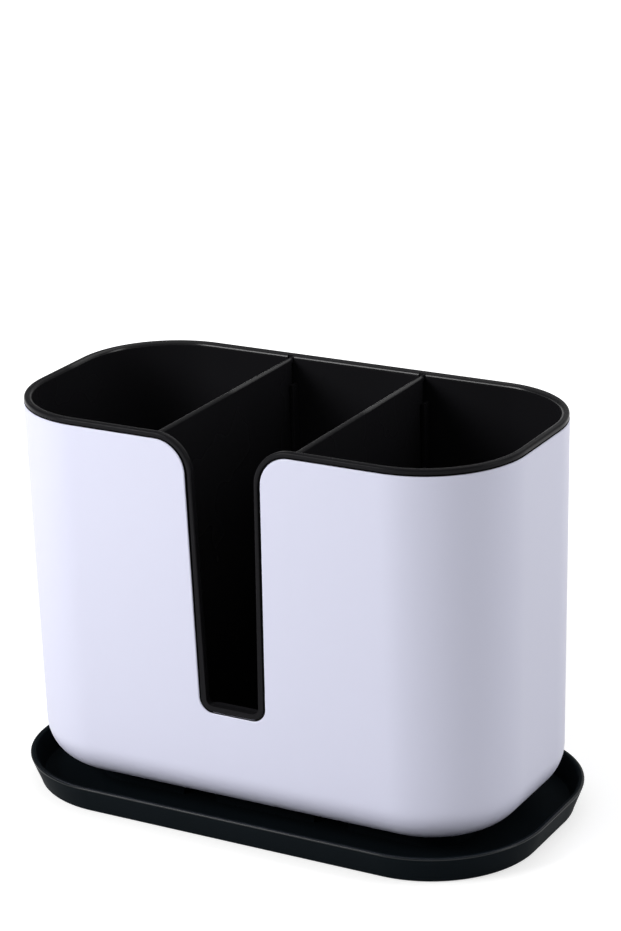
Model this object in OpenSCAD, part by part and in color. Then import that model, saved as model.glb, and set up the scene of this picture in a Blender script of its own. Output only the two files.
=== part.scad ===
// Countertop caddy: a white outer shell with an open front slot, a black lift-out liner
// whose rim covers the shell's edge, two slide-in dividers and a drip tray.
// Millimetres, +Z up, front towards -Y, origin under the middle of the tray.

/* [Body] */
// Width of the outer shell at its top edge
body_w = 186; // [160:1:210]
// Depth of the outer shell at its top edge
body_d = 96.6; // [86:0.1:120]
// Height of the outer shell, from its base to its top edge
body_h = 131.7; // [110:0.1:160]
// Plan radius of the shell's corners at its top edge
corner_r = 35; // [26:0.5:40]
// Radius between the shell's sides and its base
base_fillet = 14.7; // [8:0.1:18]
// Angle at which the sides narrow towards the base, in degrees
draft = 0.7; // [0.2:0.05:1.5]
// Wall thickness of the outer shell
shell_wall = 1.9; // [1.6:0.1:2.6]

/* [Front slot] */
// Width of the cut in the outer shell at its top edge
slot_w = 28.7; // [24:0.1:34]
// Height of the cut's lower edge above the shell's base
slot_floor = 36.1; // [26:0.1:60]
// Angle at which each side of the cut leans inwards towards its lower edge, in degrees
slot_lean = 1.1; // [0:0.1:2]
// Radius of the cut's upper corners
slot_top_r = 10.8; // [8:0.1:11]
// Radius of the cut's lower corners
slot_base_r = 5; // [4:0.1:8]

/* [Liner] */
// Wall thickness of the liner
liner_wall = 1.7; // [1.4:0.1:2.4]
// Clearance between the liner and the outer shell
liner_gap = 0.3; // [0.2:0.05:0.5]
// Height of the rim lip
lip_h = 1.9; // [1.6:0.1:2.6]
// Width of the bead round the slot
bead_w = 2.2; // [1.8:0.1:2.8]
// Height of the shadow groove between the lip or bead and the shell's edge
groove_h = 0.3; // [0.2:0.05:0.6]
// Depth of that groove behind the shell's outer face
groove_depth = 1.1; // [1:0.05:1.4]
// Radius of the lip's inner top edge
lip_inner_r = 1.2; // [0.6:0.1:1.4]
// Distance of the slot bead's face behind the shell's outer face
bead_inset = 0.15; // [0.05:0.05:0.5]

/* [Dividers] */
// Distance of each divider's middle plane from the middle of the body
divider_x = 26; // [26:0.5:36]
// Thickness of a divider
divider_t = 2; // [1.6:0.1:2.6]
// Drop of the dividers' top edges below the rim
divider_drop = 1.1; // [0.8:0.1:1.4]
// Clearance between a divider and the liner
divider_play = 0.35; // [0.25:0.05:0.5]
// Height of the ear at each upper end of a divider
ear_h = 1.6; // [1.2:0.1:1.8]
// Length of each ear beyond the liner's inner face
ear_len = 1.2; // [0.8:0.1:1.4]
// Thickness of the rails that guide a divider
rail_t = 1.4; // [1:0.1:2]
// Depth of those rails, measured from the liner's wall
rail_depth = 3; // [2:0.1:5]
// Drop of the rails' tops below the rim
rail_drop = 10; // [8:0.5:30]

/* [Drainage] */
// Width of a drain slit in the liner's floor
slit_w = 3; // [2:0.1:4]
// Distance from one slit to the next
slit_pitch = 9; // [7:0.5:12]
// Number of slits under each compartment
slit_count = 5; // [3:2:5]
// Length of the slits in the middle compartment
mid_slit_len = 34; // [20:1:36]
// Length of the slits in the outer compartments
side_slit_len = 40; // [24:1:42]

/* [Base] */
// Inset of the drain windows in the shell's base from the shell's side
window_inset = 22; // [19:0.5:24]
// Width of the bridges between the drain windows
bridge_w = 12; // [8:1:20]
// Height of the tray's support ring above the tray's floor
ring_h = 7.3; // [6:0.1:12]
// Width of the ledge on the support ring that the shell's base stands on
ring_seat = 1.5; // [1:0.1:3]
// Thickness of the ring's inner wall, which reaches up into the drain windows
ring_wall = 2; // [1.4:0.1:3]
// Height of that inner wall above the ledge
ring_step = 1.5; // [0.8:0.1:1.8]
// Clearance between the inner wall and the windows' edges
ring_play = 0.5; // [0.3:0.1:1]

/* [Drip tray] */
// Reach of the tray's rim beyond the shell's top edge
tray_margin = 5.8; // [4:0.1:12]
// Height of the tray's rim
tray_h = 10.2; // [9:0.1:14]
// Plan radius of the tray's corners at its rim
tray_corner_r = 41.7; // [34:0.1:46]
// Wall and floor thickness of the tray
tray_wall = 2; // [1.6:0.1:3]
// Distance that the tray's side leans inwards on its way down
tray_lean = 3.4; // [1:0.1:4]
// Radius between the tray's side and its underside
tray_fillet = 1.4; // [1.2:0.1:3]

/* [Hidden] */
$fn = 96;

// Heights above the table
shell_z = tray_wall + ring_h;
shell_top = shell_z + body_h;
rim_z = shell_top + groove_h + lip_h;

// Radius of the lip's outer edges, which round it nearly to a half circle
lip_outer_r = 0.47 * lip_h;

// Insets from the shell's outer face
liner_out = shell_wall + liner_gap;
liner_in = liner_out + liner_wall;
divider_end = liner_in + divider_play;

// Width of the band between the shell's cut edge and the open slot, and the rim's height
// above the shell
slot_band = groove_h + bead_w;
rim_rise = groove_h + lip_h;

// Depth of the ears' seats below the rim, and how far the ears reach from the middle
ear_seat = divider_drop + ear_h;
ear_tip = body_d / 2 - liner_in + ear_len;

// Width of the band along the tray's side that is swept round it, seen from above
tray_edge = tray_lean + tray_wall + tray_fillet;

// Working allowances: how far a cutter runs past a face, and how many steps an arc has
past = 1;
arc_steps = 10;
fine_steps = 4;
front = -body_d / 2;

function unit(v) = v / norm(v);
function turned(v, a) = [v.x * cos(a) - v.y * sin(a), v.x * sin(a) + v.y * cos(a)];

// Arc that replaces corner b of the path a, b, c
function corner_arc(a, b, c, r, steps) =
    r <= 0 ? [b] :
    let (u = unit(a - b), v = unit(c - b), half = acos(u * v) / 2,
         centre = b + unit(u + v) * r / sin(half),
         first = b + u * r / tan(half) - centre,
         turn = -sign(cross(u, v)) * (180 - 2 * half))
    [for (i = [0:steps]) centre + turned(first, turn * i / steps)];

// Closed outline with a radius at each corner
function rounded(pts, radii, steps = arc_steps) =
    let (n = len(pts))
    [for (i = [0:n - 1])
        each corner_arc(pts[(i + n - 1) % n], pts[i], pts[(i + 1) % n], radii[i], steps)];

// Distance that the drafted side has moved in at height z
function drafted(z) = (shell_top - z) * tan(draft);

// Carries a profile of radius and height round a rounded rectangle
module sweep_round(w, d, r) {
    cx = w / 2 - r;
    cy = d / 2 - r;
    for (i = [0:3])
        translate([(i == 0 || i == 3 ? 1 : -1) * cx, (i < 2 ? 1 : -1) * cy, 0])
            rotate([0, 0, 90 * i])
                rotate_extrude(angle = 90) children();
    for (turn = [0, 180])
        rotate([0, 0, turn]) translate([cx, 0, 0])
            rotate([90, 0, 0]) linear_extrude(2 * cy, center = true) children();
    for (turn = [90, 270])
        rotate([0, 0, turn]) translate([cy, 0, 0])
            rotate([90, 0, 0]) linear_extrude(2 * cx, center = true) children();
}

// Solid body shape, inset from the shell's outer face and cut off at height top
module body_solid(inset, top) {
    low = shell_z + inset;
    edge = corner_r - inset;
    sweep_round(body_w, body_d, corner_r)
        polygon(rounded(
            [[0, low], [edge - drafted(low), low], [edge - drafted(top), top], [0, top]],
            [0, base_fillet - inset, 0, 0]));
    translate([0, 0, (low + top) / 2])
        cube([body_w - 2 * corner_r, body_d - 2 * corner_r, top - low], center = true);
}

// Rounded plate between two heights
module rounded_plate(w, d, r, low, top) {
    corners = [[w / 2, d / 2], [-w / 2, d / 2], [-w / 2, -d / 2], [w / 2, -d / 2]];
    translate([0, 0, low]) linear_extrude(top - low) polygon(rounded(corners, [r, r, r, r]));
}

// Front slot as seen from the front, inset from the cut in the shell and standing above
// the shell's top edge by rise
module slot_outline(inset, rise, reach, high) {
    lean = tan(slot_lean);
    low = shell_z + slot_floor + inset;
    sill = shell_top + rise;
    top_x = slot_w / 2 - inset + rise * lean;
    low_x = slot_w / 2 - inset - (shell_top - low) * lean;
    top_r = slot_top_r + inset;
    low_r = slot_base_r - inset;
    polygon(rounded(
        [[-reach, high], [-reach, sill], [-top_x, sill], [-low_x, low],
         [low_x, low], [top_x, sill], [reach, sill], [reach, high]],
        [0, 0, top_r, low_r, low_r, top_r, 0, 0]));
}

// Runs the slot outline through the front wall
module through_front(deep) {
    translate([0, front + deep, 0]) rotate([90, 0, 0]) linear_extrude(deep + past) children();
}

// Half width of the stretch of rim that the slot's corners take up, with a little to spare
slot_reach = slot_w / 2 + slot_top_r + past;

module outer_shell() {
    color("whitesmoke")
    difference() {
        body_solid(0, shell_top);
        body_solid(shell_wall, shell_top + past);
        through_front(liner_in + past)
            slot_outline(0, 0, slot_reach + past, shell_top + past);
        drain_windows();
    }
}

// Plate with the shell's plan shape, inset from its top edge
module plan_plate(inset, low, top) {
    rounded_plate(body_w - 2 * inset, body_d - 2 * inset, corner_r - inset, low, top);
}

// Bars across the base at the two dividers, wider by play on each side
module bridges(play, low, top) {
    for (side = [-1, 1])
        translate([side * divider_x, 0, (low + top) / 2])
            cube([bridge_w + 2 * play, body_d, top - low], center = true);
}

// Three openings in the shell's base, between two bridges
module drain_windows() {
    low = shell_z - past;
    top = shell_z + shell_wall + past;
    difference() {
        plan_plate(window_inset, low, top);
        bridges(0, low - past, top + past);
    }
}

module inner_liner() {
    color("#17181a")
    difference() {
        union() {
            body_solid(liner_out, shell_top + groove_h);
            rim_lip();
            slot_bead();
        }
        liner_hollow();
        through_front(liner_in + rail_depth)
            slot_outline(slot_band, rim_rise, slot_reach + past, rim_z + past);
        divider_notches();
        drain_slits();
    }
}

// The liner's inside, with the divider rails left standing
module liner_hollow() {
    difference() {
        body_solid(liner_in, rim_z + past);
        for (side = [-1, 1])
            divider_rails(side);
    }
}

// Two pairs of rails that hold one divider upright
module divider_rails(side) {
    top = rim_z - rail_drop;
    across = divider_t / 2 + divider_play + rail_t / 2;
    difference() {
        for (beside = [-1, 1])
            translate([side * divider_x + beside * across, 0, (shell_z + top) / 2])
                cube([rail_t, body_d, top - shell_z], center = true);
        plan_plate(liner_in + rail_depth, shell_z - past, top + past);
    }
}

// Lip that covers the shell's top edge, standing on a recessed neck
module rim_lip() {
    inner = corner_r - liner_in;
    neck = corner_r - groove_depth;
    sweep_round(body_w, body_d, corner_r)
        polygon(rounded(
            [[inner, rim_z], [inner, shell_top], [neck, shell_top],
             [neck, shell_top + groove_h], [corner_r, shell_top + groove_h], [corner_r, rim_z]],
            [lip_inner_r, 0, 0, 0, lip_outer_r, lip_outer_r], fine_steps));
}

// Bead that carries the lip's line down and round the slot
module slot_bead() {
    intersection() {
        body_solid(bead_inset, rim_z);
        through_front(liner_in)
            difference() {
                slot_outline(groove_h, groove_h, slot_reach, rim_z);
                slot_outline(slot_band, rim_rise, slot_reach + past, rim_z + past);
            }
    }
}

// Notches in the rim's inner edge that take the dividers' ears
module divider_notches() {
    face = body_d / 2 - liner_in;
    wide = divider_t + 2 * divider_play;
    deep = ear_len + divider_play;
    for (side = [-1, 1], end = [-1, 1])
        translate([side * divider_x, end * (face + (deep - past) / 2), rim_z - ear_seat])
            linear_extrude(ear_seat + past) square([wide, deep + past], center = true);
}

// Rows of slits through the liner's floor
module drain_slits() {
    side_x = (divider_x + body_w / 2 - liner_in) / 2;
    for (row = [0:slit_count - 1]) {
        y = (row - (slit_count - 1) / 2) * slit_pitch;
        translate([0, y, 0]) drain_slit(mid_slit_len);
        for (side = [-1, 1])
            translate([side * side_x, y, 0]) drain_slit(side_slit_len);
    }
}

module drain_slit(length) {
    rounded_plate(length, slit_w, slit_w / 2 - 0.01, shell_z, shell_z + liner_in + past);
}

// Divider plate with a rounded top edge, whose upper ends run on as ears
module divider(side) {
    color("#17181a")
    translate([side * divider_x, 0, 0]) {
        intersection() {
            divider_slab(body_d);
            translate([-side * divider_x, 0, 0]) body_solid(divider_end, rim_z);
        }
        intersection() {
            divider_slab(2 * ear_tip);
            translate([0, 0, rim_z - ear_seat])
                linear_extrude(ear_h) square([2 * divider_t, body_d], center = true);
        }
    }
}

// Upright slab of a divider's thickness
module divider_slab(length) {
    top = rim_z - divider_drop;
    half = divider_t / 2;
    rotate([90, 0, 0]) linear_extrude(length, center = true)
        polygon(rounded(
            [[-half, shell_z], [half, shell_z], [half, top], [-half, top]],
            [0, 0, 0.9 * half, 0.9 * half], fine_steps));
}

module left_divider() { divider(-1); }

module right_divider() { divider(1); }

module drip_tray() {
    w = body_w + 2 * tray_margin;
    d = body_d + 2 * tray_margin;
    r = tray_corner_r;
    foot = r - tray_lean;
    color("#17181a") {
        sweep_round(w, d, r)
            polygon(rounded(
                [[r - tray_edge, 0], [foot, 0], [r, tray_h],
                 [r - tray_wall, tray_h], [foot - tray_wall, tray_wall],
                 [r - tray_edge, tray_wall]],
                [0, tray_fillet, 0.3, 0.3, tray_fillet - tray_wall / 2, 0]));
        tray_floor(w, d, r);
        support_ring();
    }
}

// Flat middle of the tray
module tray_floor(w, d, r) {
    rounded_plate(w - 2 * tray_edge, d - 2 * tray_edge, r - tray_edge, 0, tray_wall);
}

// Stepped ring that carries the shell, open below each bridge so that water can spread
module support_ring() {
    low = tray_wall / 2;
    top = shell_z + ring_step;
    inner = window_inset + ring_play;
    difference() {
        union() {
            plan_plate(window_inset - ring_seat, low, shell_z);
            plan_plate(inner, low, top);
        }
        plan_plate(inner + ring_wall, low - past, top + past);
        bridges(ring_play, tray_wall, top + past);
    }
}

outer_shell();
inner_liner();
left_divider();
right_divider();
drip_tray();
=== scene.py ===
# Countertop caddy: a white shell, a black liner with two dividers, and a drip tray.
# Metres, +Z up, front towards -Y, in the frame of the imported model.
import math

import bmesh
import bpy
from mathutils import Matrix, Vector


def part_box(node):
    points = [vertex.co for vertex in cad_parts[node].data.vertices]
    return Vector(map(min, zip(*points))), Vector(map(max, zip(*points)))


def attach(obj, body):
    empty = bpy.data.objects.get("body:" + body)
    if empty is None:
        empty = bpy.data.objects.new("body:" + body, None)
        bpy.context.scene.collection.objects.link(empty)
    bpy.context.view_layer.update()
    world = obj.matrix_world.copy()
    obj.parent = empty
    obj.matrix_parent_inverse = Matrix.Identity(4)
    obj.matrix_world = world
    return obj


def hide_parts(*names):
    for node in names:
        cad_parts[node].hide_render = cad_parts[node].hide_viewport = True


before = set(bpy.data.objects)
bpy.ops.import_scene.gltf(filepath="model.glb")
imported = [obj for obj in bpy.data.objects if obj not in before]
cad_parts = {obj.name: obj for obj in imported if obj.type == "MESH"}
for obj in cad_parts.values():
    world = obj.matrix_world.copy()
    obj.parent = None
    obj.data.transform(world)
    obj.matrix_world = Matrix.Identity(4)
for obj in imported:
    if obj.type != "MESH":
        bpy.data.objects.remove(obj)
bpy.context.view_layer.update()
scene = bpy.context.scene
MM = 0.001

# Sizes taken from the frame
shell_low, shell_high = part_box("outer_shell")
BODY_W = shell_high[0] - shell_low[0]
BODY_D = shell_high[1] - shell_low[1]
SHELL_Z = shell_low[2]
SHELL_TOP = shell_high[2]
RIM_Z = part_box("inner_liner")[1][2]
DIVIDER_X = (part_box("right_divider")[0][0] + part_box("right_divider")[1][0]) / 2
DIVIDER_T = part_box("right_divider")[1][0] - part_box("right_divider")[0][0]
DIVIDER_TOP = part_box("right_divider")[1][2]
EAR_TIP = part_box("right_divider")[1][1]
tray_low, tray_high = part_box("drip_tray")
TRAY_W = tray_high[0] - tray_low[0]
TRAY_D = tray_high[1] - tray_low[1]
RING_TOP = tray_high[2]

# Body
CORNER_R = 35 * MM
BASE_FILLET = 14.7 * MM
DRAFT = math.radians(0.7)
SHELL_WALL = 1.9 * MM
SHELL_EDGE_R = 0.65 * MM

# Front slot, measured at the cut in the white shell
SLOT_W = 28.7 * MM
SLOT_FLOOR = 36.1 * MM
SLOT_LEAN = math.radians(1.1)
SLOT_TOP_R = 10.8 * MM
SLOT_BASE_R = 5 * MM

# Liner, whose lip and slot bead are rounded nearly to a half circle, and whose mouth flares a little
LINER_OUT = 2.2 * MM
LINER_IN = 3.9 * MM
MOUTH_FLARE = 0.95 * MM
MOUTH_LOW = SHELL_Z + 16 * MM
GROOVE = 0.15 * MM
SLOT_GROOVE = 0.55 * MM
# A thin black sheet over the shell's edge, made with the sheet sizes here, is painted shade that darkens
# the shadow groove
SHADE_SHEET = 0.1 * MM
SHELL_EDGE_PLAY = 0.02 * MM
NECK_DEPTH = 1.1 * MM
SHADE_SHEET_OVERLAP = 0.2 * MM
SLOT_BAND = 2.5 * MM
RIM_RISE = RIM_Z - SHELL_TOP
LIP_INSET = 0.12 * MM
LIP_OUTER_R = 0.75 * MM
LIP_OUTER_END = LIP_INSET + 0.1 * MM
LIP_INNER_R = 1.3 * MM
LIP_INNER_START = 1.5 * MM

# Dividers and what holds them
DIVIDER_END = 4.25 * MM
DIVIDER_ROUND = 0.45 * DIVIDER_T
DIVIDER_EDGE_R = 0.2 * MM
EAR_H = 1.6 * MM
RAIL_T = 1.4 * MM
RAIL_EDGE_R = 0.25 * MM
RAIL_DEPTH = 3 * MM
RAIL_TOP = RIM_Z - 10 * MM
PLAY = 0.35 * MM

# Drainage
SLIT_W = 3 * MM
SLIT_END_R = 0.49 * SLIT_W
SLIT_PITCH = 9 * MM
SLIT_COUNT = 5
MID_SLIT_LEN = 34 * MM
SIDE_SLIT_LEN = 40 * MM
WINDOW_INSET = 22 * MM
BRIDGE_W = 12 * MM

# Drip tray
TRAY_H = 10.2 * MM
TRAY_CORNER_R = 41.7 * MM
TRAY_WALL = 2 * MM
TRAY_LEAN = 3.4 * MM
TRAY_FILLET = 1.4 * MM
TRAY_EDGE_R = 0.6 * MM
RING_SEAT = 1.5 * MM
RING_WALL = 2 * MM
RING_PLAY = 0.5 * MM
RING_EDGE_R = 0.3 * MM
RING_FOOT = 0.3 * MM

# How far a cutter runs past a face, and how close two points or places count as one
PAST = 2 * MM
NEAR = 0.002 * MM
SAME = 0.001 * MM

# Steps in a round
PLAN_STEPS = 28
FILLET_STEPS = 14
SLOT_STEPS = 14
EDGE_STEPS = 4
ROUND_STEPS = 6
SMALL_STEPS = 2

# Angles between two faces: merged below the first, rounded above the second, shaded sharp above the third
FLAT_ANGLE = math.radians(0.05)
SHARP_ANGLE = math.radians(40)
SHADE_ANGLE = math.radians(38)

# Camera
IMAGE_W = 621
FOCAL_PX = 2988.4
SENSOR_MM = 36
CAMERA_AZ = math.radians(29.41)
CAMERA_EL = math.radians(19.236)
CAMERA_ROLL = math.radians(-1.619)
CAMERA_DISTANCE = 1035.9 * MM
CAMERA_AIM_Z = 58.74 * MM
CAMERA_PAN = (5.487 * MM, 57.565 * MM)


def add_camera():
    """Places the camera at the photograph's viewing angle."""
    back = Vector((math.sin(CAMERA_AZ) * math.cos(CAMERA_EL),
                   -math.cos(CAMERA_AZ) * math.cos(CAMERA_EL),
                   math.sin(CAMERA_EL)))
    level = Vector((math.cos(CAMERA_AZ), math.sin(CAMERA_AZ), 0))
    raised = back.cross(level)
    right = math.cos(CAMERA_ROLL) * level + math.sin(CAMERA_ROLL) * raised
    up = math.cos(CAMERA_ROLL) * raised - math.sin(CAMERA_ROLL) * level
    place = (Vector((0, 0, CAMERA_AIM_Z)) + CAMERA_DISTANCE * back
             + CAMERA_PAN[0] * level + CAMERA_PAN[1] * raised)
    data = bpy.data.cameras.new("camera")
    data.sensor_fit = "HORIZONTAL"
    data.sensor_width = SENSOR_MM
    data.lens = SENSOR_MM * FOCAL_PX / IMAGE_W
    data.clip_end = 20
    camera = bpy.data.objects.new("camera", data)
    turn = Matrix((right, up, back)).transposed().to_4x4()
    camera.matrix_world = Matrix.Translation(place) @ turn
    scene.collection.objects.link(camera)
    scene.camera = camera


# Building blocks

def as_object(name, bm):
    """Turns a bmesh into an object of the scene."""
    mesh = bpy.data.meshes.new(name)
    bm.to_mesh(mesh)
    bm.free()
    piece = bpy.data.objects.new(name, mesh)
    scene.collection.objects.link(piece)
    return piece


def block(low, high, name="block"):
    """Plain block between two corners."""
    bm = bmesh.new()
    bmesh.ops.create_cube(bm, size=1)
    size = Vector(high) - Vector(low)
    bmesh.ops.scale(bm, vec=size, verts=bm.verts)
    bmesh.ops.translate(bm, vec=(Vector(high) + Vector(low)) / 2, verts=bm.verts)
    return as_object(name, bm)


def round_edges_of(bm, edges, radius, steps):
    """Rounds edges of a bmesh."""
    bmesh.ops.bevel(bm, geom=edges, offset=radius, offset_type="OFFSET", segments=steps,
                    profile=0.5, affect="EDGES", clamp_overlap=False, material=-1)


def rounded_block(size, radius, low, high, inset_at, fillet=0.0, name="block"):
    """Upright block with round corners, drawn in by inset_at(z), with a fillet at its base."""
    bm = bmesh.new()
    bmesh.ops.create_cube(bm, size=1)
    bmesh.ops.scale(bm, vec=(size[0], size[1], high - low), verts=bm.verts)
    bmesh.ops.translate(bm, vec=(0, 0, (low + high) / 2), verts=bm.verts)
    upright = [e for e in bm.edges if abs(e.verts[0].co.z - e.verts[1].co.z) > SAME]
    round_edges_of(bm, upright, radius, PLAN_STEPS)
    core = (size[0] / 2 - radius, size[1] / 2 - radius)
    for v in bm.verts:
        centre = Vector((math.copysign(core[0], v.co.x), math.copysign(core[1], v.co.y)))
        away = (v.co.xy - centre) * (1 - inset_at(v.co.z) / radius)
        v.co.x, v.co.y = centre + away
    if fillet:
        base = [e for e in bm.edges if all(v.co.z < low + SAME for v in e.verts)]
        round_edges_of(bm, base, fillet, FILLET_STEPS)
    return as_object(name, bm)


def body_inset(inset):
    """Inset of the drafted side at a height, for a shape that lies inset from the shell."""
    return lambda z: inset + (SHELL_TOP - z) * math.tan(DRAFT)


def body_block(inset, high, name="block"):
    """Solid of the body's shape, inset from the shell's outer face."""
    return rounded_block((BODY_W, BODY_D), CORNER_R, SHELL_Z + inset, high,
                         body_inset(inset), BASE_FILLET - inset, name)


def plan_block(inset, low, high, name="block"):
    """Upright block with the body's plan, inset from the shell's top edge."""
    return rounded_block((BODY_W, BODY_D), CORNER_R, low, high, lambda z: inset, 0.0, name)


def slot_prism(inset, rise, high, front, back, reach):
    """Front slot as a solid, inset from the cut in the shell, running from front to back."""
    lean = math.tan(SLOT_LEAN)
    low = SHELL_Z + SLOT_FLOOR + inset
    sill = SHELL_TOP + rise
    top_x = SLOT_W / 2 - inset + rise * lean
    low_x = SLOT_W / 2 - inset - (SHELL_TOP - low) * lean
    right = [(low_x, low), (top_x, sill), (reach, sill), (reach, high)]
    left = [(-x, z) for x, z in reversed(right)]
    bm = bmesh.new()
    outline = [bm.verts.new((x, front, z)) for x, z in left + right]
    face = bm.faces.new(outline)
    grown = bmesh.ops.extrude_face_region(bm, geom=[face])
    moved = [g for g in grown["geom"] if isinstance(g, bmesh.types.BMVert)]
    bmesh.ops.translate(bm, vec=(0, back - front, 0), verts=moved)
    bmesh.ops.recalc_face_normals(bm, faces=bm.faces)
    for (x, z), radius in (((low_x, low), SLOT_BASE_R - inset), ((top_x, sill), SLOT_TOP_R + inset)):
        corners = [e for e in bm.edges
                   if all(abs(abs(v.co.x) - x) < SAME and abs(v.co.z - z) < SAME for v in e.verts)]
        round_edges_of(bm, corners, radius, SLOT_STEPS)
    return as_object("slot", bm)


def bake_modifiers(piece):
    """Applies a piece's modifiers to its mesh."""
    bpy.context.view_layer.update()
    depsgraph = bpy.context.evaluated_depsgraph_get()
    mesh = bpy.data.meshes.new_from_object(piece.evaluated_get(depsgraph))
    old = piece.data
    piece.modifiers.clear()
    piece.data = mesh
    bpy.data.meshes.remove(old)


def combine(piece, other, how="DIFFERENCE"):
    """Cuts, joins or intersects a piece with another, which is used up."""
    modifier = piece.modifiers.new("combine", "BOOLEAN")
    modifier.operation = how
    modifier.solver = "EXACT"
    modifier.object = other
    bake_modifiers(piece)
    bpy.data.objects.remove(other)


def join(pieces):
    """Joins pieces into the first of them."""
    whole, *others = pieces
    for other in others:
        combine(whole, other, "UNION")
    return whole


def soften(piece, radius, wanted=lambda middle: True, steps=EDGE_STEPS):
    """Rounds a piece's sharp edges whose middles are wanted."""
    bm = bmesh.new()
    bm.from_mesh(piece.data)
    bmesh.ops.remove_doubles(bm, verts=bm.verts, dist=NEAR)
    bmesh.ops.dissolve_limit(bm, angle_limit=FLAT_ANGLE, verts=bm.verts, edges=bm.edges)
    edges = [e for e in bm.edges
             if e.is_manifold and e.calc_face_angle() > SHARP_ANGLE
             and wanted((e.verts[0].co + e.verts[1].co) / 2)]
    round_edges_of(bm, edges, radius, steps)
    bm.to_mesh(piece.data)
    bm.free()


def smooth_finish(piece):
    """Shades a piece smooth, with its broad faces kept flat."""
    mesh = piece.data
    mesh.polygons.foreach_set("use_smooth", [True] * len(mesh.polygons))
    mesh.set_sharp_from_angle(angle=SHADE_ANGLE)
    modifier = piece.modifiers.new("even_shading", "WEIGHTED_NORMAL")
    modifier.keep_sharp = True
    modifier.weight = 100


def plan_inset(point):
    """How far a point lies inside the shell's outer face, seen from above."""
    core_x, core_y = BODY_W / 2 - CORNER_R, BODY_D / 2 - CORNER_R
    over_x = max(abs(point.x) - core_x, 0)
    over_y = max(abs(point.y) - core_y, 0)
    return CORNER_R - math.hypot(over_x, over_y) - (SHELL_TOP - point.z) * math.tan(DRAFT)


# Pieces

def open_slot(inset, rise, high):
    """Cutter that opens the front wall along the slot."""
    return slot_prism(inset, rise, high + PAST, -BODY_D, -BODY_D / 2 + 3 * PAST, SLOT_W)


def make_shell():
    """White shell: hollow body with the front slot and the drain windows."""
    shell = body_block(0, SHELL_TOP, "shell")
    combine(shell, body_block(SHELL_WALL, SHELL_TOP + PAST))
    combine(shell, open_slot(0, 0, SHELL_TOP))
    low, high = SHELL_Z - PAST, SHELL_Z + SHELL_WALL + PAST
    windows = plan_block(WINDOW_INSET, low, high)
    for side in (-1, 1):
        middle = side * DIVIDER_X
        combine(windows, block((middle - BRIDGE_W / 2, -BODY_D, low - PAST),
                               (middle + BRIDGE_W / 2, BODY_D, high + PAST)))
    combine(shell, windows)
    soften(shell, SHELL_EDGE_R)
    return shell


def below_rim_line(depth, rise, inset):
    """Space round the shell's wall, up to its edge raised by rise, and inset into the slot."""
    high = SHELL_TOP + rise + PAST
    space = body_block(-PAST, high)
    combine(space, body_block(depth, high + PAST))
    combine(space, slot_prism(inset, rise, high + PAST, -BODY_D, 0, BODY_W))
    combine(space, block((-BODY_W, -PAST, SHELL_TOP + rise), (BODY_W, BODY_D, high + PAST)))
    return space


def make_shade_sheet():
    """Thin black sheet that lines the shell's edge in front of the shadow groove: painted shade, which
    darkens the groove.
    """
    shade_sheet = below_rim_line(NECK_DEPTH + SHADE_SHEET_OVERLAP, SHADE_SHEET, SHADE_SHEET)
    combine(shade_sheet, body_block(LIP_INSET, RIM_Z), "INTERSECT")
    combine(shade_sheet, below_rim_line(NECK_DEPTH + 2 * SHADE_SHEET_OVERLAP, SHELL_EDGE_PLAY, SHELL_EDGE_PLAY))
    return shade_sheet


def mouth_block():
    """Cutter that flares the liner's mouth, so that its wall thins towards the lip."""
    def inset_at(z):
        """Inset of the flared wall at a height."""
        return body_inset(LINER_IN)(z) - (z - MOUTH_LOW) / (RIM_Z - MOUTH_LOW) * MOUTH_FLARE
    return rounded_block((BODY_W, BODY_D), CORNER_R, MOUTH_LOW, RIM_Z + PAST, inset_at)


def make_liner():
    """Black liner: lip and bead over the shell's edge, walls, rails, notches and slits."""
    liner = body_block(LIP_INSET, RIM_Z, "liner")
    combine(liner, body_block(LINER_IN, RIM_Z + PAST))
    combine(liner, mouth_block())
    combine(liner, open_slot(SLOT_BAND, RIM_RISE, RIM_Z))
    combine(liner, below_rim_line(NECK_DEPTH, GROOVE, SLOT_GROOVE))
    soften(liner, LIP_OUTER_R, lambda p: plan_inset(p) < LIP_OUTER_END)
    soften(liner, LIP_INNER_R, lambda p: plan_inset(p) > LIP_INNER_START)
    combine(liner, below_rim_line(LINER_OUT, SHELL_EDGE_PLAY, SHELL_EDGE_PLAY))
    # The black sheet over the shell's edge is painted shade in the shadow groove
    combine(liner, make_shade_sheet(), "UNION")
    combine(liner, make_rails(), "UNION")
    combine(liner, make_notches())
    cut_slits(liner)
    return liner


def make_rails():
    """Four pairs of rails that guide the dividers' ends."""
    plates = []
    for side in (-1, 1):
        for beside in (-1, 1):
            middle = side * DIVIDER_X + beside * (DIVIDER_T / 2 + PLAY + RAIL_T / 2)
            plates.append(block((middle - RAIL_T / 2, -BODY_D, SHELL_Z),
                                (middle + RAIL_T / 2, BODY_D, RAIL_TOP)))
    rails = join(plates)
    combine(rails, plan_block(LINER_IN + RAIL_DEPTH, SHELL_Z - PAST, RAIL_TOP + PAST))
    combine(rails, body_block((LINER_OUT + LINER_IN) / 2, RIM_Z), "INTERSECT")
    soften(rails, RAIL_EDGE_R, steps=SMALL_STEPS)
    return rails


def make_notches():
    """Cutters for the notches that take the dividers' ears."""
    half = DIVIDER_T / 2 + PLAY
    inner = BODY_D / 2 - LINER_IN - PAST
    notches = []
    for side in (-1, 1):
        for end in (-1, 1):
            low_y, high_y = sorted((end * inner, end * (EAR_TIP + PLAY)))
            notches.append(block((side * DIVIDER_X - half, low_y, DIVIDER_TOP - EAR_H),
                                 (side * DIVIDER_X + half, high_y, RIM_Z + PAST)))
    return join(notches)


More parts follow.
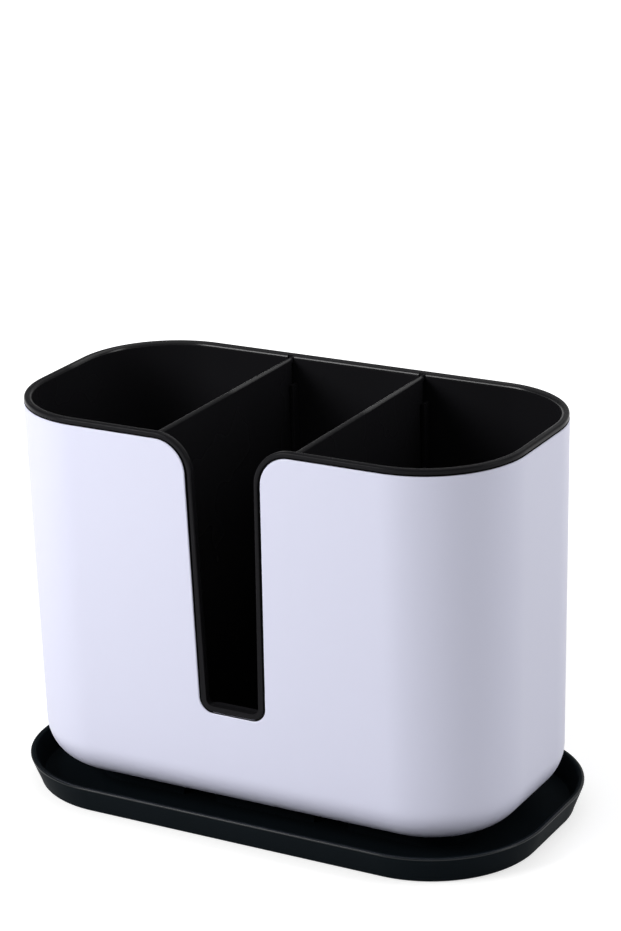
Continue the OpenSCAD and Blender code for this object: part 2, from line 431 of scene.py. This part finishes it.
def cut_slits(liner):
    """Rows of drain slits through the liner's floor."""
    side_x = (DIVIDER_X + BODY_W / 2 - LINER_IN) / 2
    for row in range(SLIT_COUNT):
        y = (row - (SLIT_COUNT - 1) / 2) * SLIT_PITCH
        for x, length in ((0, MID_SLIT_LEN), (-side_x, SIDE_SLIT_LEN), (side_x, SIDE_SLIT_LEN)):
            slit = rounded_block((length, SLIT_W), SLIT_END_R, SHELL_Z, SHELL_Z + 4 * PAST,
                                 lambda z: 0.0)
            slit.data.transform(Matrix.Translation((x, y, 0)))
            combine(liner, slit)


def make_divider(side, name):
    """Divider plate with a rounded top edge, whose upper ends run on as ears."""
    half = DIVIDER_T / 2
    middle = side * DIVIDER_X
    plate = block((middle - half, -BODY_D, SHELL_Z), (middle + half, BODY_D, DIVIDER_TOP), name)
    soften(plate, DIVIDER_ROUND, lambda p: p.z > DIVIDER_TOP - MM and abs(p.y) < MM, ROUND_STEPS)
    outline = body_block(DIVIDER_END, RIM_Z)
    combine(outline, block((middle - DIVIDER_T, -EAR_TIP, DIVIDER_TOP - EAR_H),
                           (middle + DIVIDER_T, EAR_TIP, RIM_Z)), "UNION")
    combine(plate, outline, "INTERSECT")
    soften(plate, DIVIDER_EDGE_R, steps=SMALL_STEPS)
    return plate


def tray_block(inset, low, high, fillet):
    """Upright block with the tray's leaning side, inset from its outer face."""
    return rounded_block((TRAY_W, TRAY_D), TRAY_CORNER_R, low, high,
                         lambda z: inset + (TRAY_H - z) / TRAY_H * TRAY_LEAN, fillet)


def make_tray():
    """Drip tray with the stepped ring that carries the shell."""
    tray = tray_block(0, 0, TRAY_H, TRAY_FILLET)
    tray.name = "tray"
    combine(tray, tray_block(TRAY_WALL, TRAY_WALL, TRAY_H + PAST, TRAY_FILLET - TRAY_WALL / 2))
    soften(tray, TRAY_EDGE_R)
    combine(tray, make_ring(), "UNION")
    return tray


def make_ring():
    """Stepped support ring, open below each bridge of the shell's base."""
    low = TRAY_WALL / 2
    ring = plan_block(WINDOW_INSET - RING_SEAT, low, SHELL_Z)
    combine(ring, plan_block(WINDOW_INSET + RING_PLAY, SHELL_Z - MM, RING_TOP), "UNION")
    combine(ring, plan_block(WINDOW_INSET + RING_PLAY + RING_WALL, low - PAST, RING_TOP + PAST))
    half = BRIDGE_W / 2 + RING_PLAY
    for side in (-1, 1):
        middle = side * DIVIDER_X
        combine(ring, block((middle - half, -BODY_D, TRAY_WALL - RING_FOOT),
                            (middle + half, BODY_D, RING_TOP + PAST)))
    soften(ring, RING_EDGE_R, steps=SMALL_STEPS)
    return ring


# Materials

MOTTLE_SCALE = 18
BUMP_HEIGHT = 0.05 * MM
EDGE_FADE = 0.2 * MM
END_FADE = 5 * MM


def math_step(tree, operation, *values):
    """Math node fed with sockets or numbers, which returns its output."""
    node = tree.nodes.new("ShaderNodeMath")
    node.operation = operation
    for socket, value in zip(node.inputs, values):
        if isinstance(value, bpy.types.NodeSocket):
            tree.links.new(value, socket)
        else:
            socket.default_value = value
    return node.outputs[0]


def new_group(name, inputs, outputs):
    """Empty node group with its sockets, its input's sockets and its output node."""
    group = bpy.data.node_groups.new(name, "ShaderNodeTree")
    for way, sockets in (("INPUT", inputs), ("OUTPUT", outputs)):
        for socket, kind in sockets:
            group.interface.new_socket(name=socket, in_out=way, socket_type="NodeSocket" + kind)
    return group, group.nodes.new("NodeGroupInput").outputs, group.nodes.new("NodeGroupOutput").inputs


def place_group(material, group, values):
    """Group's node in a material, with its values set."""
    node = material.node_tree.nodes.new("ShaderNodeGroup")
    node.node_tree = group
    for name, value in values.items():
        node.inputs[name].default_value = value
    return node.outputs


def moulded_surface():
    """Node group for moulded plastic: fine texture, faint mottling of colour and gloss."""
    group, given, result = new_group(
        "moulded_surface",
        (("Colour", "Color"), ("Roughness", "Float"), ("Colour Drift", "Float"), ("Gloss Drift", "Float"),
         ("Texture Size", "Float"), ("Texture Depth", "Float")),
        (("Colour", "Color"), ("Roughness", "Float"), ("Normal", "Vector")))
    nodes, links = group.nodes, group.links
    place = nodes.new("ShaderNodeTexCoord").outputs["Object"]

    mottle = nodes.new("ShaderNodeTexNoise")
    mottle.inputs["Scale"].default_value = MOTTLE_SCALE
    mottle.inputs["Detail"].default_value = 3
    links.new(place, mottle.inputs["Vector"])
    centred = math_step(group, "SUBTRACT", mottle.outputs["Fac"], 0.5)
    tint = nodes.new("ShaderNodeVectorMath")
    tint.operation = "SCALE"
    links.new(given["Colour"], tint.inputs[0])
    links.new(math_step(group, "MULTIPLY_ADD", centred, given["Colour Drift"], 1.0), tint.inputs["Scale"])
    links.new(tint.outputs[0], result["Colour"])
    gloss = math_step(group, "MULTIPLY_ADD", centred, given["Gloss Drift"], given["Roughness"])
    links.new(gloss, result["Roughness"])

    grain = nodes.new("ShaderNodeTexNoise")
    grain.inputs["Detail"].default_value = 2
    links.new(place, grain.inputs["Vector"])
    links.new(math_step(group, "DIVIDE", 1 / MM, given["Texture Size"]), grain.inputs["Scale"])
    bump = nodes.new("ShaderNodeBump")
    bump.inputs["Distance"].default_value = BUMP_HEIGHT
    links.new(given["Texture Depth"], bump.inputs["Strength"])
    links.new(grain.outputs["Fac"], bump.inputs["Height"])
    links.new(bump.outputs["Normal"], result["Normal"])
    return group


def upper_edge():
    """Node group that marks a band along a piece's upper edge.

    The band lies above Height and between two depths behind the piece's rounded outline, and it
    starts at Front End and runs back from there.
    """
    names = ("Core X", "Core Y", "Radius", "Height", "Depth From", "Depth To", "Front End")
    sockets = [(name, "Float") for name in names]
    group, given, result = new_group("upper_edge", sockets, [("Mask", "Float")])

    def step(operation, *values):
        """Math node in this group."""
        return math_step(group, operation, *values)

    def share(value, start, end):
        """How far a value has come from start to end, as a number from 0 to 1."""
        part = step("DIVIDE", step("SUBTRACT", value, start), step("SUBTRACT", end, start))
        return step("MINIMUM", step("MAXIMUM", part, 0.0), 1.0)

    axes = group.nodes.new("ShaderNodeSeparateXYZ")
    group.links.new(group.nodes.new("ShaderNodeTexCoord").outputs["Object"], axes.inputs[0])
    squares = []
    for axis in ("X", "Y"):
        beyond = step("SUBTRACT", step("ABSOLUTE", axes.outputs[axis]), given["Core " + axis])
        over = step("MAXIMUM", beyond, 0.0)
        squares.append(step("MULTIPLY", over, over))
    depth = step("SUBTRACT", given["Radius"], step("SQRT", step("ADD", *squares)))
    across = share(depth, given["Depth From"], given["Depth To"])
    upward = share(axes.outputs["Z"], given["Height"], step("ADD", given["Height"], EDGE_FADE))
    along = share(axes.outputs["Y"], given["Front End"], step("ADD", given["Front End"], END_FADE))
    group.links.new(step("MULTIPLY", step("MULTIPLY", across, upward), along), result["Mask"])
    return group


surface_group = moulded_surface()
edge_group = upper_edge()


def plastic(name, specular, surface):
    """Moulded plastic of one colour."""
    material = bpy.data.materials.new(name)
    material.use_nodes = True
    shader = material.node_tree.nodes["Principled BSDF"]
    shader.inputs["Specular IOR Level"].default_value = specular
    made = place_group(material, surface_group, surface)
    for result, socket in (("Colour", "Base Color"), ("Roughness", "Roughness"), ("Normal", "Normal")):
        material.node_tree.links.new(made[result], shader.inputs[socket])
    return material


def polish_edge(material, weight, roughness, width, depth, radius, band):
    """Makes a band along the upper edge glossier than the rest."""
    tree = material.node_tree
    shader = tree.nodes["Principled BSDF"]
    outline = {"Core X": width / 2 - radius, "Core Y": depth / 2 - radius, "Radius": radius}
    mask = place_group(material, edge_group, {**outline, **band})["Mask"]
    tree.links.new(math_step(tree, "MULTIPLY", mask, weight), shader.inputs["Coat Weight"])
    shader.inputs["Coat Roughness"].default_value = roughness


white_plastic = plastic("white_satin", 0.5, {
    "Colour": (0.75, 0.76, 0.92, 1),
    "Roughness": 0.42,
    "Colour Drift": 0.012,
    "Gloss Drift": 0.06,
    "Texture Size": 0.35,
    "Texture Depth": 0.05,
})
black_plastic = plastic("black_satin", 0.05, {
    "Colour": (0.0105, 0.0103, 0.0118, 1),
    "Roughness": 0.27,
    "Colour Drift": 0.3,
    "Gloss Drift": 0.06,
    "Texture Size": 0.3,
    "Texture Depth": 0.08,
})
tray_plastic = plastic("black_tray", 0.01, {
    "Colour": (0.0055, 0.0082, 0.0105, 1),
    "Roughness": 0.5,
    "Colour Drift": 0.3,
    "Gloss Drift": 0.08,
    "Texture Size": 0.3,
    "Texture Depth": 0.12,
})

# Inner edge of the lip along the back, and the tray's outer edge all round
polish_edge(black_plastic, 0.45, 0.2, BODY_W, BODY_D, CORNER_R, {
    "Height": RIM_Z - 1.8 * MM,
    "Depth From": 1.6 * MM,
    "Depth To": 1.8 * MM,
    "Front End": 0.0,
})
polish_edge(tray_plastic, 0.5, 0.2, TRAY_W, TRAY_D, TRAY_CORNER_R, {
    "Height": TRAY_H - 0.7 * MM,
    "Depth From": 1.1 * MM,
    "Depth To": 0.9 * MM,
    "Front End": -TRAY_D,
})


def dress(piece, material, node, body):
    """Gives a piece its finish and hands it to the frame in place of its CAD node."""
    piece.data.materials.clear()
    piece.data.materials.append(material)
    smooth_finish(piece)
    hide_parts(node)
    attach(piece, body)


# Stage

# The floor is pale, and reaches white between two distances from the middle
FLOOR_SIZE = 30
FLOOR_SHADE = 0.66
GLOW_NEAR = 0.6
GLOW_FAR = 1.0
GLOW_FROM = 0.16
GLOW_TO = 0.55

# The sky's strength by the height of its direction, and where its white horizon ends
SKY_LOW = 0.05
SKY_HIGH = 0.62
SKY_FROM = 0.3
HORIZON_FROM = 0.16
HORIZON_TO = 0.175

# Name, azimuth, elevation, distance, width, height, watts
SOFTBOXES = (
    ("key", -35, 28, 0.75, 0.32, 0.32, 3.65),
    ("low_fill", -20, 0, 1.0, 0.6, 0.1, 0.4),
    ("right_strip", 100, 26, 0.9, 0.25, 0.6, 2.1),
    ("back_fill", 168, 40, 1.2, 1.4, 1.0, 3.0),
)


def background_rays(tree):
    """Output that is 1 for rays that show the background: camera, glossy and transmission rays."""
    path = tree.nodes.new("ShaderNodeLightPath").outputs
    seen = math_step(tree, "MAXIMUM", path["Is Camera Ray"], path["Is Glossy Ray"])
    return math_step(tree, "MAXIMUM", seen, path["Is Transmission Ray"])


def map_range(tree, value, start, end, low, high, interpolation="SMOOTHSTEP"):
    """Output that runs from low to high as a value runs from start to end."""
    ramp = tree.nodes.new("ShaderNodeMapRange")
    ramp.interpolation_type = interpolation
    for name, number in (("From Min", start), ("From Max", end), ("To Min", low), ("To Max", high)):
        ramp.inputs[name].default_value = number
    tree.links.new(value, ramp.inputs["Value"])
    return ramp.outputs["Result"]


def add_floor():
    """Pale floor that looks white further out and keeps the object's shadow."""
    bm = bmesh.new()
    bmesh.ops.create_grid(bm, x_segments=1, y_segments=1, size=FLOOR_SIZE / 2)
    floor = as_object("floor", bm)
    material = bpy.data.materials.new("floor")
    material.use_nodes = True
    tree = material.node_tree
    shader = tree.nodes["Principled BSDF"]
    shader.inputs["Base Color"].default_value = (FLOOR_SHADE, FLOOR_SHADE, FLOOR_SHADE, 1)
    shader.inputs["Roughness"].default_value = 0.9
    shader.inputs["Specular IOR Level"].default_value = 0.1
    shader.inputs["Emission Color"].default_value = (1, 1, 1, 1)
    away = tree.nodes.new("ShaderNodeVectorMath")
    away.operation = "LENGTH"
    tree.links.new(tree.nodes.new("ShaderNodeTexCoord").outputs["Object"], away.inputs[0])
    glow = map_range(tree, away.outputs["Value"], GLOW_FROM, GLOW_TO, GLOW_NEAR, GLOW_FAR)
    lift = math_step(tree, "MULTIPLY", background_rays(tree), glow)
    tree.links.new(lift, shader.inputs["Emission Strength"])
    floor.data.materials.append(material)


def add_world():
    """Soft light from above, with a white horizon for the rays that show the background."""
    world = bpy.data.worlds.new("studio")
    world.use_nodes = True
    scene.world = world
    tree = world.node_tree
    axes = tree.nodes.new("ShaderNodeSeparateXYZ")
    tree.links.new(tree.nodes.new("ShaderNodeTexCoord").outputs["Generated"], axes.inputs[0])
    level = map_range(tree, axes.outputs["Z"], SKY_FROM, 1, SKY_LOW, SKY_HIGH)
    horizon = map_range(tree, axes.outputs["Z"], HORIZON_TO, HORIZON_FROM, 0, 1, "LINEAR")
    white = math_step(tree, "MULTIPLY", horizon, background_rays(tree))
    background = tree.nodes["Background"]
    background.inputs["Color"].default_value = (1, 1, 1, 1)
    tree.links.new(math_step(tree, "MAXIMUM", level, white), background.inputs["Strength"])


def add_softbox(name, azimuth, elevation, distance, width, height, watts):
    """Rectangular lamp turned towards the object, azimuth 0 at the front and 90 at the right."""
    data = bpy.data.lights.new(name, "AREA")
    data.shape = "RECTANGLE"
    data.size = width
    data.size_y = height
    data.energy = watts
    az, el = math.radians(azimuth), math.radians(elevation)
    away = Vector((math.sin(az) * math.cos(el), -math.cos(az) * math.cos(el), math.sin(el)))
    lamp = bpy.data.objects.new(name, data)
    lamp.location = Vector((0, 0, RIM_Z / 2)) + distance * away
    lamp.rotation_euler = away.to_track_quat("Z", "Y").to_euler()
    scene.collection.objects.link(lamp)


# Making

scene.view_settings.view_transform = "Standard"
add_camera()
dress(make_shell(), white_plastic, "outer_shell", "shell")
dress(make_liner(), black_plastic, "inner_liner", "liner")
dress(make_divider(-1, "left_plate_skin"), black_plastic, "left_divider", "left_plate")
dress(make_divider(1, "right_plate_skin"), black_plastic, "right_divider", "right_plate")
dress(make_tray(), tray_plastic, "drip_tray", "tray")

add_floor()
add_world()
for softbox in SOFTBOXES:
    add_softbox(*softbox)
